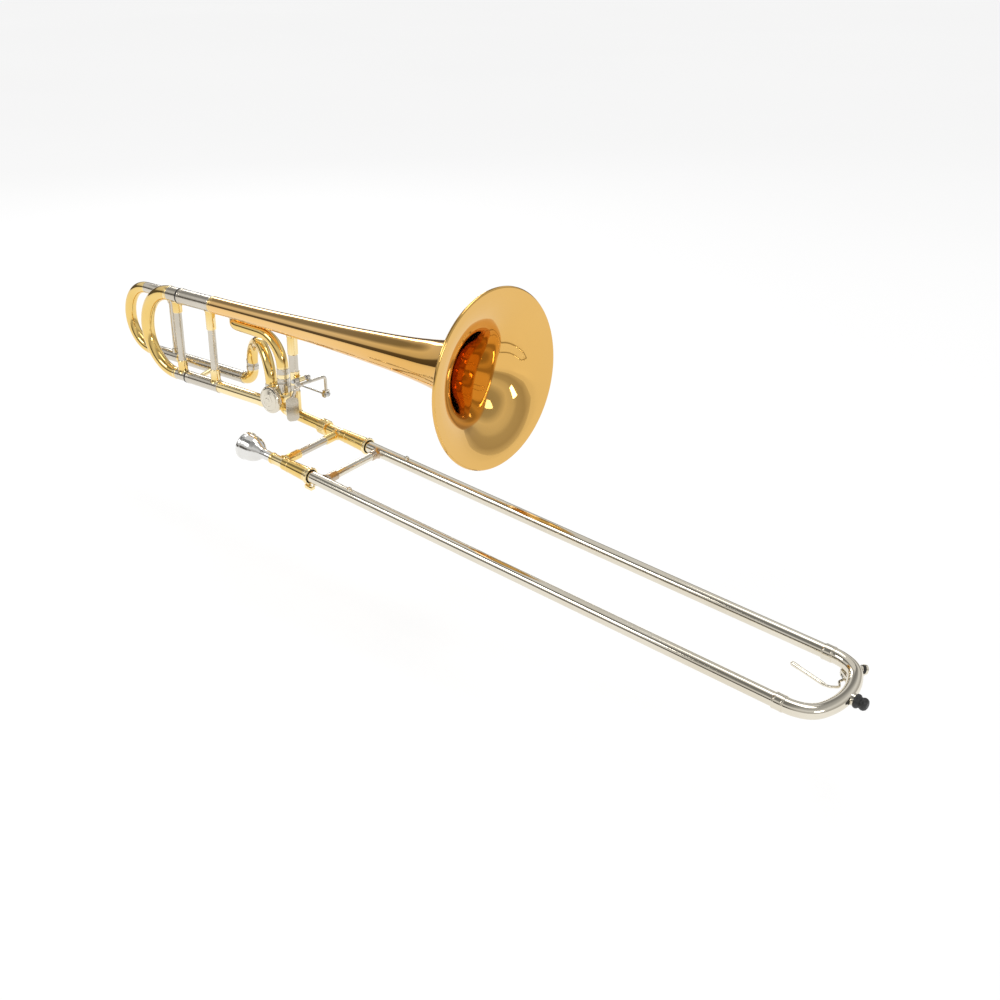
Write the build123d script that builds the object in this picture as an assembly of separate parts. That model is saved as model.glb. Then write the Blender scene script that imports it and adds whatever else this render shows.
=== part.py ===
from build123d import *
import math
import os

os.makedirs("parts", exist_ok=True)

# ---------------------------------------------------------------- driving dimensions (mm)
# Frame: origin at the centre of the bell rim, +X out of the bell, +Z up,
# +Y towards the player's left, where the F attachment hangs.
BELL_WALL = 0.6
BELL_TAIL_X = -513.0
RIM_BEAD_R, RIM_BEAD_X, RIM_BEAD_RAD = 107.2, -2.3, 2.3
RIM_WIRE_RAD = 1.45
BELL_PTS = [  # (x, outer radius)
    (-513, 11.9), (-460, 12.25), (-400, 13.3), (-350, 14.85), (-300, 16.4),
    (-250, 18.3), (-200, 20.8), (-160, 23.2), (-120, 26.7), (-85, 31.6),
    (-55, 39.7), (-38, 47.1), (-24, 56.7), (-14, 69.3), (-7, 83.4), (-3, 95.6), (-1.2, 103.8), (-0.75, 106.2),
]

CROOK_X = -610.0            # main tuning crook, straight ends
MAIN_DROP = 120.2           # upper leg axis to lower leg axis
SLEEVE_X = -582.6           # open end of the main outer slide sleeves
UP_SLEEVE_R, UP_SLEEVE_RI = 11.3, 10.75
UP_LEG_R, UP_LEG_RI = 10.72, 10.2
LO_SLEEVE_R, LO_SLEEVE_RI = 8.8, 8.2
LO_LEG_R, LO_LEG_RI = 8.17, 7.6

F_Y = 36.0                  # plane of the F attachment
F_TOP_Z, F_BOT_Z = -16.1, -112.6
F_CROOK_X = -713.6
F_SLEEVE_X = -641.0
F_SLEEVE_R, F_SLEEVE_RI = 8.6, 8.03
F_LEG_R, F_LEG_RI = 8.0, 7.45
F_CROOK_R, F_CROOK_RI = 8.35, 7.5
F_TUBE_R, F_TUBE_RI = 8.03, 7.45
F_FERRULE_R = 8.6

VALVE_X, VALVE_Z = -388.0, -107.7
CASING_R, CASING_RI = 18.0, 15.51
ROTOR_R = 15.45
PORT_R = 6.0
PORT_ANGLES = (-47.7, -137.7, 42.3, 132.3)   # neckpipe, main, F out, F back
KNUCKLE_R, KNUCKLE_RI = 7.0, 6.2
STOP_ARM = 10.5             # rotor centre to link pin

LEVER_X, LEVER_Z = -341.0, -72.0
BALL_X, BALL_Z = -336.0, -103.0
LINK_Y = 40.0

# hand slide: its own frame, s along the tubes, t across, h up
SLIDE_O = (-404.534, 0, -119.798)
SLIDE_U = (0.99561136, 0, -0.09358432)
SLIDE_N = (0.09314636, -0.09642318, 0.99097241)
W = 102.0                   # tube spacing
IN_R, IN_RI = 7.0, 6.5      # inner slide tubes
STOCK_R = 7.15
OUT_R, OUT_RI = 7.7, 7.2    # outer slide tubes
S_TUBE0, S_TUBE1 = 165.0, 852.0
S_BOW = 857.5
BOW_R, BOW_RI = 8.1, 7.4

SLIDE = Plane(origin=SLIDE_O, x_dir=SLIDE_U, z_dir=SLIDE_N).location


# ---------------------------------------------------------------- helpers
def flat(*items):
    out = []
    for i in items:
        if isinstance(i, (list, tuple)):
            out += flat(*i)
        else:
            out += list(i.solids())
    return out


def rod(a, b, r):
    a, b = Vector(*a), Vector(*b)
    d = b - a
    return Solid.make_cylinder(r, d.length, Plane(origin=a, z_dir=d))


def cone(a, b, r0, r1):
    a, b = Vector(*a), Vector(*b)
    d = b - a
    return Solid.make_cone(r0, r1, d.length, Plane(origin=a, z_dir=d))


def cut(a, *tools):
    out = []
    for s in flat(a):
        r = s.cut(*flat(*tools))
        out += flat(r)
    return out[0] if len(out) == 1 else out


def join(*items):
    s = flat(*items)
    r = s[0].fuse(*s[1:])
    out = flat(r)
    return out[0] if len(out) == 1 else out


def tube(a, b, r, ri):
    return cut(rod(a, b, r), rod(a, b, ri))


def turned(pts, origin=(0, 0, 0), axis=(1, 0, 0)):
    """Solid of revolution from (along, radius) points about an axis."""
    face = Face(Wire.make_polygon([Vector(x, r, 0) for x, r in pts], close=True))
    body = revolve(face, Axis.X)
    z = Vector(*axis)
    pl = Plane(origin=origin, x_dir=z, z_dir=(z.cross(Vector(0, 1, 0)) if abs(z.Y) < 0.9 else Vector(0, 0, 1)))
    return flat(pl.location * body)[0]


def swept(path, r, ri=None):
    start = Plane(origin=path @ 0, z_dir=path % 0)
    if ri is None:
        return flat(sweep(start * Circle(r), path=path))[0]
    return flat(sweep(start * (Circle(r) - Circle(ri)), path=path))[0]


def rounded(points, radii):
    return FilletPolyline(*points, radius=radii).wire()


def slide(shape):
    return [SLIDE * s for s in flat(shape)]


parts = {}


def keep(name, *items):
    parts[name] = flat(*items)


def save(name):
    solids = parts[name]
    shape = solids[0] if len(solids) == 1 else Compound(children=solids)
    export_step(shape, f"parts/{name}.step")


# ---------------------------------------------------------------- bell
outer_pts = [Vector(x, r, 0) for x, r in BELL_PTS]
outer = Spline(*outer_pts, tangents=[(1, 0, 0), (0.15, 1, 0)])
N_IN = 26
inner_pts = []
for i in range(N_IN + 1):
    k = i / N_IN
    p = outer @ k
    t = outer % k
    n = Vector(t.Y, -t.X, 0)
    q = p + n * BELL_WALL
    if q.X > -495:
        inner_pts.append(q)
inner = Spline(Vector(-498, 11.32, 0), *inner_pts)
tail_in = [Line((BELL_TAIL_X, 11.3), (-499, 11.3)), Line((-499, 11.3), (-498, 11.32))]
cap_end = Line(outer @ 1, inner @ 1)
cap_tail = Line((BELL_TAIL_X, 11.3), outer @ 0)
bell_face = Face(Wire([*tail_in, inner.edge(), cap_end, outer.edge(), cap_tail]))
bell_shell = revolve(bell_face, Axis.X)
bead_c = Plane(origin=(RIM_BEAD_X, RIM_BEAD_R, 0), z_dir=(0, 0, 1))
bead = revolve(bead_c * (Circle(RIM_BEAD_RAD) - Circle(RIM_WIRE_RAD)), Axis.X)
bead_core = revolve(bead_c * Circle(RIM_WIRE_RAD), Axis.X)
bell = cut(join(bell_shell, bead), bead_core)
# two-piece bell: the flare and the stem meet at a brazed ring seam
SEAM_X = -158.0
keep("bell", cut(bell, Solid.make_box(600.0, 400.0, 400.0, Plane(origin=(SEAM_X - 600.0, -200.0, -200.0)))))
keep("bell_stem", cut(bell, Solid.make_box(400.0, 400.0, 400.0, Plane(origin=(SEAM_X, -200.0, -200.0)))))
keep("bell_rim_wire", revolve(bead_c * Circle(RIM_WIRE_RAD), Axis.X))
# plain solid of the bell's outside, used to shape whatever is soldered onto it
bell_solid_face = Face(Wire([outer.edge(), Line(outer @ 1, (-0.75, 0)), Line((-0.75, 0), (BELL_TAIL_X, 0)),
                             Line((BELL_TAIL_X, 0), outer @ 0)]))
BELL_OUT = revolve(bell_solid_face, Axis.X)

# ---------------------------------------------------------------- main tuning slide
keep("upper_slide_sleeve", tube((SLEEVE_X, 0, 0), (-499, 0, 0), UP_SLEEVE_R, UP_SLEEVE_RI))
keep("lower_slide_sleeve", tube((SLEEVE_X, 0, -MAIN_DROP), (-512, 0, -MAIN_DROP), LO_SLEEVE_R, LO_SLEEVE_RI))
keep("upper_inner_leg", tube((CROOK_X, 0, 0), (-508, 0, 0), UP_LEG_R, UP_LEG_RI))
keep("lower_inner_leg", tube((CROOK_X, 0, -MAIN_DROP), (-522, 0, -MAIN_DROP), LO_LEG_R, LO_LEG_RI))

RC = MAIN_DROP / 2


def crook_section(deg, r):
    a = math.radians(deg)
    p = (CROOK_X - RC * math.sin(a), 0, -RC + RC * math.cos(a))
    return Plane(origin=p, x_dir=(0, 1, 0), z_dir=(-math.cos(a), 0, -math.sin(a))) * Circle(r)


def crook_solid(r0, r1):
    angles = [180 * i / 8 for i in range(9)]
    arc = ThreePointArc((CROOK_X, 0, 0), (CROOK_X - RC, 0, -RC), (CROOK_X, 0, -MAIN_DROP))
    secs = [crook_section(a, r0 + (r1 - r0) * (a / 180) ** 0.9) for a in angles]
    return flat(sweep(secs, path=arc, multisection=True))[0]


keep("main_tuning_crook", cut(crook_solid(10.85, 8.25), crook_solid(10.2, 7.6)))


# ---------------------------------------------------------------- upright braces
def socket_up(x, y, z0, z1, r_tube, r_sock, flare, tools, z_far):
    """Brace socket: a cup on the brace tube ending in a small saddle at z0."""
    d = 1 if z1 > z0 else -1
    ln = abs(z1 - z0)
    pts = [(0, 0), (0, flare), (2.0, flare - 1.2), (4.2, r_sock), (ln - 1.2, r_sock), (ln, r_sock - 0.7), (ln, 0)]
    s = turned(pts, origin=(x, y, z0), axis=(0, 0, d))
    bore = rod((x, y, z0 + d * (ln - 10)), (x, y, z1 + d), r_tube)
    return cut(s, bore, *tools)


def long_rod(p, v, r, half=120):
    p, v = Vector(*p), Vector(*v).normalized()
    a, b = p - v * half, p + v * half
    return rod((a.X, a.Y, a.Z), (b.X, b.Y, b.Z), r)


def post(x, z_top, z_bot, top_len, bot_len, r_tube, r_sock, top_tool, bot_tool, names):
    top_end, bot_end = z_top - top_len, z_bot + bot_len
    top = socket_up(x, 0, z_top + 3.0, top_end, r_tube, r_sock, r_sock + 1.8, [top_tool], 0)
    bot = socket_up(x, 0, z_bot - 3.0, bot_end, r_tube, r_sock, r_sock + 1.8, [bot_tool], 0)
    t0, t1 = top_end + 8.0, bot_end - 8.0
    keep(names[0], tube((x, 0, t1), (x, 0, t0), r_tube, r_tube - 0.9))
    keep(names[1], top, bot)


UP_TOOL_LEG = rod((-640, 0, 0), (-500, 0, 0), UP_LEG_R)
LO_TOOL_LEG = rod((-640, 0, -MAIN_DROP), (-515, 0, -MAIN_DROP), LO_LEG_R)
UP_TOOL_SLEEVE = rod((-600, 0, 0), (-480, 0, 0), 11.9)
LO_TOOL_SLEEVE = rod((-600, 0, -MAIN_DROP), (-480, 0, -MAIN_DROP), LO_SLEEVE_R)
u = Vector(*SLIDE_U)
NECK_TOOL = long_rod(SLIDE_O, SLIDE_U, 7.5, 160)

post(-595, -10.7, -112.1, 14.8, 15.6, 5.5, 6.9, UP_TOOL_LEG, LO_TOOL_LEG,
     ("rear_brace_tube", "rear_brace_sockets"))
post(-521.5, -11.3, -111.4, 25.8, 16.1, 5.5, 6.9,
     rod((-600, 0, 0), (-480, 0, 0), UP_SLEEVE_R), LO_TOOL_SLEEVE,
     ("mid_brace_tube", "mid_brace_sockets"))
post(-353, -14.75, -117.2, 25.0, 27.4, 6.2, 7.1, BELL_OUT, NECK_TOOL,
     ("front_brace_tube", "front_brace_sockets"))

# short spacers that hang the F attachment on the main sleeves
up_sp = cut(rod((-568, 9, -4.0), (-568, 30, -13.4), 3.4),
            rod((-600, 0, 0), (-540, 0, 0), UP_SLEEVE_R), rod((-600, F_Y, F_TOP_Z), (-540, F_Y, F_TOP_Z), F_SLEEVE_R))
lo_sp = cut(rod((-568, 5, -119.2), (-568, 32, -113.4), 3.4),
            rod((-600, 0, -MAIN_DROP), (-540, 0, -MAIN_DROP), LO_SLEEVE_R),
            rod((-600, F_Y, F_BOT_Z), (-540, F_Y, F_BOT_Z), F_SLEEVE_R))
keep("leg_braces", up_sp, lo_sp)

# ---------------------------------------------------------------- F attachment
FR = (F_TOP_Z - F_BOT_Z) / 2
F_MID = (F_TOP_Z + F_BOT_Z) / 2
F_END = -643.5
keep("f_upper_sleeve", tube((F_SLEEVE_X, F_Y, F_TOP_Z), (-545, F_Y, F_TOP_Z), F_SLEEVE_R, F_SLEEVE_RI))
keep("f_lower_sleeve", tube((F_SLEEVE_X, F_Y, F_BOT_Z), (-500, F_Y, F_BOT_Z), F_SLEEVE_R, F_SLEEVE_RI))
f_path = Wire([Line((F_END, F_Y, F_TOP_Z), (F_CROOK_X, F_Y, F_TOP_Z)),
               ThreePointArc((F_CROOK_X, F_Y, F_TOP_Z), (F_CROOK_X - FR, F_Y, F_MID), (F_CROOK_X, F_Y, F_BOT_Z)),
               Line((F_CROOK_X, F_Y, F_BOT_Z), (F_END, F_Y, F_BOT_Z))])
keep("f_tuning_crook", swept(f_path, F_CROOK_R, F_CROOK_RI))
keep("f_inner_legs",
     tube((F_END, F_Y, F_TOP_Z), (-560, F_Y, F_TOP_Z), F_LEG_R, F_LEG_RI),
     tube((F_END, F_Y, F_BOT_Z), (-560, F_Y, F_BOT_Z), F_LEG_R, F_LEG_RI))
fb = turned([(0, 0), (0, 7.4), (5.5, 5.6), (14, 5.6), (14, 4.2), (84, 4.2), (84, 5.6), (92.5, 5.6), (98, 7.4), (98, 0)],
            origin=(-657, F_Y, F_BOT_Z - 0.75), axis=(0, 0, 1))
keep("f_slide_brace", cut(fb, rod((-690, F_Y, F_TOP_Z), (-640, F_Y, F_TOP_Z), F_CROOK_R),
                          rod((-690, F_Y, F_BOT_Z), (-640, F_Y, F_BOT_Z), F_CROOK_R)))

EL_X, RET_X, OUT_X = -481.8, -400.7, -375.6
f_elbow_path = rounded([(EL_X, F_Y, -90), (EL_X, F_Y, F_BOT_Z), (-508, F_Y, F_BOT_Z)], [17.0])
keep("f_elbow", swept(f_elbow_path, F_TUBE_R, F_TUBE_RI))
RET_BASE = -90.0
rvec = Vector(EL_X - RET_X, F_Y, 0)
RR = rvec.length / 2
ret_path = Wire([Line((RET_X, 0, -93), (RET_X, 0, RET_BASE)),
                 ThreePointArc((RET_X, 0, RET_BASE), ((RET_X + EL_X) / 2, F_Y / 2, RET_BASE + RR), (EL_X, F_Y, RET_BASE))])
CASING_TOOL = rod((VALVE_X, -40, VALVE_Z), (VALVE_X, 40, VALVE_Z), CASING_R)
keep("f_return_crook", max(flat(cut(swept(ret_path, F_TUBE_R, F_TUBE_RI), CASING_TOOL)), key=lambda q: q.volume))
out_path = rounded([(OUT_X, 0, -91.5), (OUT_X, 0, -22.5), (-475, 6, -22.5), (-515, F_Y, F_TOP_Z), (-551, F_Y, F_TOP_Z)],
                   [40, 24, 24])
keep("f_outer_branch", max(flat(cut(swept(out_path, F_TUBE_R, F_TUBE_RI), CASING_TOOL)), key=lambda q: q.volume))


def ring(a, b, r, ri):
    return tube(a, b, r, ri)


keep("f_ferrules",
     ring((EL_X, F_Y, -95.5), (EL_X, F_Y, -90.1), F_FERRULE_R + 0.2, F_TUBE_R),
     cut(ring((RET_X, 0, -96.4), (RET_X, 0, -90.1), F_FERRULE_R + 0.2, F_TUBE_R), CASING_TOOL),
     cut(ring((OUT_X, 0, -96.5), (OUT_X, 0, -84.5), F_FERRULE_R, F_TUBE_R), CASING_TOOL))

# ---------------------------------------------------------------- rotary valve
VC = Vector(VALVE_X, 0, VALVE_Z)


def radial(deg, d, y=0):
    a = math.radians(deg)
    return (VALVE_X + d * math.cos(a), y, VALVE_Z + d * math.sin(a))


def vrod(y0, y1, r):
    return rod((VALVE_X, y0, VALVE_Z), (VALVE_X, y1, VALVE_Z), r)


casing = cut(join(vrod(-11, 13, CASING_R), vrod(-15, -10.5, 17.25)), vrod(-16, 14, CASING_RI),
             *[rod(radial(a, 5), radial(a, 24), KNUCKLE_RI) for a in PORT_ANGLES])
keep("valve_casing", casing)

s_hit = 20.18
neck_turn = radial(-47.7, s_hit)
neck_far = tuple(Vector(*neck_turn) + u * 11.9)
knuckle_paths = [
    rounded([radial(-47.7, 12), neck_turn, neck_far], [8]),
    rounded([radial(-137.7, 11), radial(-137.7, 18.57), (-420, 0, -MAIN_DROP)], [8]),
    rounded([radial(42.3, 10), radial(42.3, (OUT_X - VALVE_X) / math.cos(math.radians(42.3))), (OUT_X, 0, -91.5)], [7.6]),
]
knuckles = []
for i, kp in enumerate(knuckle_paths):
    full = cut(swept(kp, KNUCKLE_R), CASING_TOOL)
    full = max(flat(full), key=lambda s: s.volume)
    bore = swept(kp, KNUCKLE_RI)
    k = max(flat(cut(full, bore)), key=lambda s: s.volume)
    knuckles.append(k)
stub = cut(join(rod(radial(132.3, 12), radial(132.3, 20.5), KNUCKLE_R), rod((RET_X, 0, -98.0), (RET_X, 0, -93), KNUCKLE_R)),
           CASING_TOOL, Solid.make_box(40, 40, 20, Plane(origin=(RET_X - 20, -20, -93))))
stub = max(flat(stub), key=lambda s: s.volume)
stub = cut(stub, join(rod(radial(132.3, 5), radial(132.3, 19.4), KNUCKLE_RI), rod((RET_X, 0, -95.5), (RET_X, 0, -85), KNUCKLE_RI)))
knuckles.append(max(flat(stub), key=lambda s: s.volume))
keep("valve_knuckles", knuckles)

keep("main_lower_tube", tube((-520, 0, -MAIN_DROP), (-420, 0, -MAIN_DROP), 8.2, 7.6),
     cut(rod((-424, 0, -MAIN_DROP), (-414, 0, -MAIN_DROP), 8.8), rod((-424, 0, -MAIN_DROP), (-420, 0, -MAIN_DROP), 8.2),
         rod((-420, 0, -MAIN_DROP), (-414, 0, -MAIN_DROP), KNUCKLE_R)))

# rotor with its two quarter-turn passages, spindle at both ends
body = join(vrod(-10, 10, ROTOR_R), vrod(-16.2, -9, 3.0), vrod(9, 29.5, 3.0))
for mid in (-92.7, 87.3):
    c = radial(mid, ROTOR_R * math.sqrt(2))
    ring_t = Solid.make_torus(ROTOR_R, PORT_R, Plane(origin=c, z_dir=(0, 1, 0)))
    body = max(flat(cut(body, ring_t)), key=lambda s: s.volume)
keep("rotor", body)
keep("front_bearing_plate", cut(join(vrod(-13.2, -10.3, 15.45), vrod(-14.4, -13, 6.5)), vrod(-20, -5, 3.06)))
keep("rear_bearing_plate", cut(join(vrod(10.3, 13.2, 15.45), vrod(13, 15, 18.0), vrod(14.5, 18, 6.5)), vrod(5, 20, 3.06)))
cap = turned([(-11.2, 17.3), (-11.2, 18.1), (-12.0, 18.45), (-16.2, 18.45), (-17.2, 17.9), (-17.6, 16.6), (-18.2, 15.6),
              (-19.7, 9.5), (-20.4, 4.0), (-20.5, 0.0), (-19.4, 0.0), (-18.6, 9.0), (-17.3, 14.6), (-16.6, 15.4),
              (-16.6, 16.2), (-15.1, 17.3)], origin=(VALVE_X, 0, VALVE_Z), axis=(0, 1, 0))
keep("valve_cap", cap)

# stop plate: crescent on the rear plate, with the two bumpers that end the rotor's turn
sp = cut(vrod(15.0, 17.4, 15.5), vrod(14, 19, 6.5), rod(radial(-90, 30, 14), radial(-90, 30, 20), 26))
sp_cut = Solid.make_box(40, 8, 40, Plane(origin=(VALVE_X - 20, 13, VALVE_Z - 47)))
keep("stop_plate", max(flat(cut(sp, sp_cut)), key=lambda s: s.volume),
     *[rod(radial(a, 12.4, 17.4), radial(a, 12.4, 19.0), 3.1) for a in (157.7, 22.3)])
keep("stop_bumpers", *[rod(radial(a, 12.4, 19.0), radial(a, 12.4, 23.8), 2.6) for a in (157.7, 22.3)])


# stop arm: hub on the rotor spindle, arm up to the link pin, tail lug that meets the bumpers
def flat_bar(p, q, w, y0, y1):
    p, q = Vector(p[0], 0, p[2]), Vector(q[0], 0, q[2])
    d = (q - p)
    pl = Plane(origin=(p.X, y0, p.Z), x_dir=d, z_dir=(0, 1, 0))
    return flat(extrude(pl * Rectangle(d.length, w, align=(Align.MIN, Align.CENTER)), y1 - y0))[0]


REST_PIN = 135.0
pin_c = radial(REST_PIN, STOP_ARM)
hub = vrod(19.0, 28.6, 6.0)
arm = flat_bar((VALVE_X, 0, VALVE_Z), pin_c, 6.0, 25.0, 28.0)
eye = rod(radial(REST_PIN, STOP_ARM, 25.0), radial(REST_PIN, STOP_ARM, 28.0), 3.6)
pinpost = rod(radial(REST_PIN, STOP_ARM, 27.5), radial(REST_PIN, STOP_ARM, 37.2), 1.9)
lug = flat_bar((VALVE_X, 0, VALVE_Z), radial(REST_PIN, 12.5), 4.0, 19.6, 23.4)
stop_arm = cut(join(hub, arm, eye, pinpost, lug), vrod(18, 40, 3.0))
keep("stop_arm", stop_arm)
keep("stop_arm_screw", cut(join(vrod(28.65, 30.9, 4.3), vrod(27.0, 28.9, 2.95)), vrod(20, 29.5, 3.0),
                           Solid.make_box(10, 1.6, 1.0, Plane(origin=(VALVE_X - 5, 30.0, VALVE_Z - 0.5)))))

# ---------------------------------------------------------------- thumb lever and link
bracket = join(rod((LEVER_X, -5, LEVER_Z), (LEVER_X, 5, LEVER_Z), 3.6),
               Solid.make_box(8, 9.0, 6.0, Plane(origin=(-348.5, -4.5, LEVER_Z - 3.0))),
               cut(rod((-353, 0, LEVER_Z - 9), (-353, 0, LEVER_Z + 9), 7.3),
                   Solid.make_box(20, 20, 30, Plane(origin=(-373.0 + 0.5, -10, LEVER_Z - 15)))))
bracket = cut(bracket, rod((-353, 0, LEVER_Z - 20), (-353, 0, LEVER_Z + 20), 6.2),
              rod((LEVER_X, -20, LEVER_Z), (LEVER_X, 20, LEVER_Z), 1.6))
keep("lever_bracket", bracket)
keep("lever_hinge_pin", join(rod((LEVER_X, -13.4, LEVER_Z), (LEVER_X, 14.2, LEVER_Z), 1.6),
                             rod((LEVER_X, -15.0, LEVER_Z), (LEVER_X, -13.3, LEVER_Z), 2.6),
                             rod((LEVER_X, 14.1, LEVER_Z), (LEVER_X, 15.6, LEVER_Z), 2.6)))
coil = [Solid.make_torus(2.6, 0.45, Plane(origin=(LEVER_X, 5.95 + 0.82 * i, LEVER_Z), z_dir=(0, 1, 0))) for i in range(4)]
keep("lever_spring", join(coil))


def bar(path_pts, w, th, wide_dir):
    """Flat strip following straight runs; w across wide_dir, th the other way."""
    out = []
    for a, b in zip(path_pts[:-1], path_pts[1:]):
        a, b = Vector(*a), Vector(*b)
        d = (b - a)
        e = d.normalized()
        pl = Plane(origin=a - e * 0.0, x_dir=wide_dir, z_dir=e)
        out.append(flat(extrude(pl * RectangleRounded(w, th, th * 0.3), d.length))[0])
    return out


XS, ZS = -336.2, -77.0
yoke = [cut(join(rod((LEVER_X, -12.6, LEVER_Z), (LEVER_X, -5.7, LEVER_Z), 3.5),
                 flat(extrude(Plane(origin=(LEVER_X + 0.6, -12.6, LEVER_Z - 0.6), x_dir=(0.72, 0, -0.69), z_dir=(0, 1, 0))
                              * Rectangle(8.0, 3.6, align=(Align.MIN, Align.CENTER)), 6.9))[0]),
            rod((LEVER_X, -30, LEVER_Z), (LEVER_X, 30, LEVER_Z), 1.66)),
        cut(join(rod((LEVER_X, 9.5, LEVER_Z), (LEVER_X, 13.7, LEVER_Z), 3.5),
                 flat(extrude(Plane(origin=(LEVER_X + 0.6, 9.5, LEVER_Z - 0.6), x_dir=(0.72, 0, -0.69), z_dir=(0, 1, 0))
                              * Rectangle(8.0, 3.6, align=(Align.MIN, Align.CENTER)), 4.2))[0]),
            rod((LEVER_X, -30, LEVER_Z), (LEVER_X, 30, LEVER_Z), 1.66))]
cross = rod((XS, -3.0, ZS), (XS, 36.5, ZS), 2.1)
knee = rounded([(XS, 30.0, ZS), (XS, 40.0, ZS), (BALL_X, 40.0, -98.5)], [5.0])
down = swept(knee, 2.1)
clev = join(cross, down, *yoke)
fork = [cut(join(rod((BALL_X, a, BALL_Z), (BALL_X, a + 1.6, BALL_Z), 3.7),
                 Solid.make_box(6.0, 1.6, 5.2, Plane(origin=(BALL_X - 3, a, BALL_Z + 0.6)))),
            rod((BALL_X, 30, BALL_Z), (BALL_X, 50, BALL_Z), 1.55)) for a in (36.2, 42.2)]
bridge = Solid.make_box(6.0, 7.6, 2.4, Plane(origin=(BALL_X - 3, 36.2, BALL_Z + 4.4)))
stem = swept(rounded([(XS, 6.0, ZS), (XS, -2.0, ZS), (-339.4, -12.0, -83.5), (-342.8, -16.6, -99.0)], [6.0, 8.0]), 2.1)
keep("thumb_lever", join(clev, stem, fork, bridge))

pad_pl = Plane(origin=(-341.0, -17.6, -109.3), x_dir=(0.43, 0.903, 0), z_dir=(0.903, -0.43, 0))
paddle = flat(extrude(pad_pl * RectangleRounded(17.0, 33.5, 6.0), 1.8))[0]
keep("thumb_paddle", cut(paddle, stem))

keep("ball_pin", join(rod((BALL_X, 35.4, BALL_Z), (BALL_X, 44.6, BALL_Z), 1.55),
                      rod((BALL_X, 34.4, BALL_Z), (BALL_X, 36.1, BALL_Z), 2.6),
                      rod((BALL_X, 43.9, BALL_Z), (BALL_X, 45.4, BALL_Z), 2.6)))
lk_a, lk_b = Vector(BALL_X, 40, BALL_Z), Vector(pin_c[0], 40, pin_c[2])
ld = (lk_b - lk_a).normalized()
e1 = cut(join(rod((BALL_X, 38.1, BALL_Z), (BALL_X, 41.9, BALL_Z), 3.4),
              rod(tuple(lk_a + ld * 2.4), tuple(lk_a + ld * 8), 2.2)),
         rod((BALL_X, 30, BALL_Z), (BALL_X, 50, BALL_Z), 1.62))
e2 = rod((pin_c[0], 37.9, pin_c[2]), (pin_c[0], 42.1, pin_c[2]), 3.4)
shaft = rod(tuple(lk_a + ld * 7.5), tuple(lk_b - ld * 2.4), 1.3)
neck2 = rod(tuple(lk_b - ld * 9), tuple(lk_b - ld * 2.6), 2.2)
keep("link_rod", join(e1, shaft, neck2, e2))


# ---------------------------------------------------------------- neckpipe and slide receiver (slide frame)
def st(s, t, h=0):
    return (s, -t, h)


def srev(pts, t=0.0):
    """Turned about the tube axis at offset t; points are (s, radius)."""
    return SLIDE * turned(pts, origin=(0, -t, 0), axis=(1, 0, 0))


keep("neckpipe", srev([(42.2, 6.3), (42.2, 7.0), (37.5, 7.0), (37.5, 8.1), (42.2, 8.1), (42.6, 7.5), (103.0, 7.5),
                       (103.0, 9.0), (105.4, 9.0), (105.4, 6.2), (135.0, 5.9), (135.0, 5.4), (100.0, 5.6)]))
nut = srev([(100.0, 7.56), (100.0, 9.6), (100.9, 10.5), (112.2, 10.5), (113.1, 9.7), (113.1, 9.16), (102.7, 9.16), (102.7, 7.56)])
knurl = [SLIDE * rod((101.6, 10.72 * math.cos(a), 10.72 * math.sin(a)), (111.4, 10.72 * math.cos(a), 10.72 * math.sin(a)), 0.5)
         for a in [2 * math.pi * i / 32 for i in range(32)]]
keep("bell_lock_nut", cut(nut, knurl))
keep("bell_receiver", srev([(105.8, 6.26), (105.8, 9.1), (112.8, 9.1), (113.4, 7.0), (139.0, 7.0), (139.0, 5.94),
                            (135.6, 5.94)]))

barrel_pts = [(139.0, 7.0), (139.0, 8.0), (141.0, 8.2), (150.0, 8.3), (160.0, 8.75), (174.0, 9.3), (184.9, 9.75), (185.2, 10.9),
              (186.2, 11.3), (187.6, 11.3), (188.6, 10.7), (188.6, 9.15), (172.0, 8.75), (160.0, 8.15), (152.5, 8.0), (152.5, 7.0)]
keep("far_cork_barrel", srev(barrel_pts))
near_barrel_pts = [(139.0, 7.0), (139.0, 8.0), (141.0, 8.2), (150.0, 8.3), (160.0, 8.75), (174.0, 9.3), (184.5, 9.75),
                   (184.5, 9.05), (172.0, 8.75), (160.0, 8.15), (152.5, 8.0), (152.5, 7.0)]
keep("near_cork_barrel", srev(near_barrel_pts, W))
keep("barrel_corks", srev([(153.5, 7.0), (153.5, 7.9), (160.5, 7.9), (160.5, 7.0)]),
     srev([(153.5, 7.0), (153.5, 7.9), (160.5, 7.9), (160.5, 7.0)], W))

shank = [(117.0, 5.85), (140.0, 5.35)]
keep("mouthpiece_receiver", srev([(116.6, 5.90), (116.6, 7.3), (118.2, 7.6), (120.0, 7.3), (121.0, 6.9), (141.0, 6.9),
                                  (141.0, 5.38)], W))
mp = [(65.6, 13.2), (64.9, 14.4), (64.7, 15.9), (65.3, 17.5), (66.8, 18.5), (69.0, 18.75), (71.0, 18.3), (72.6, 17.5),
      (75.0, 17.3), (80.0, 16.9), (85.0, 15.8), (90.0, 13.6), (94.0, 11.0), (97.0, 8.8), (99.5, 7.3), (102.0, 6.6),
      (105.0, 6.5), (107.0, 6.6), (117.0, 5.85), (140.0, 5.35),
      (140.0, 4.6), (110.0, 3.6), (97.0, 3.3), (93.5, 4.2), (88.0, 8.2), (80.0, 11.4), (71.0, 12.8)]
keep("mouthpiece", srev(mp, W))
keep("leadpipe", srev([(141.0, 5.4), (141.0, 6.5), (330.0, 6.5), (330.0, 6.25), (200.0, 5.9)], W))


def stube(s0, s1, r, ri, t):
    return SLIDE * tube(st(s0, t), st(s1, t), r, ri)


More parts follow.
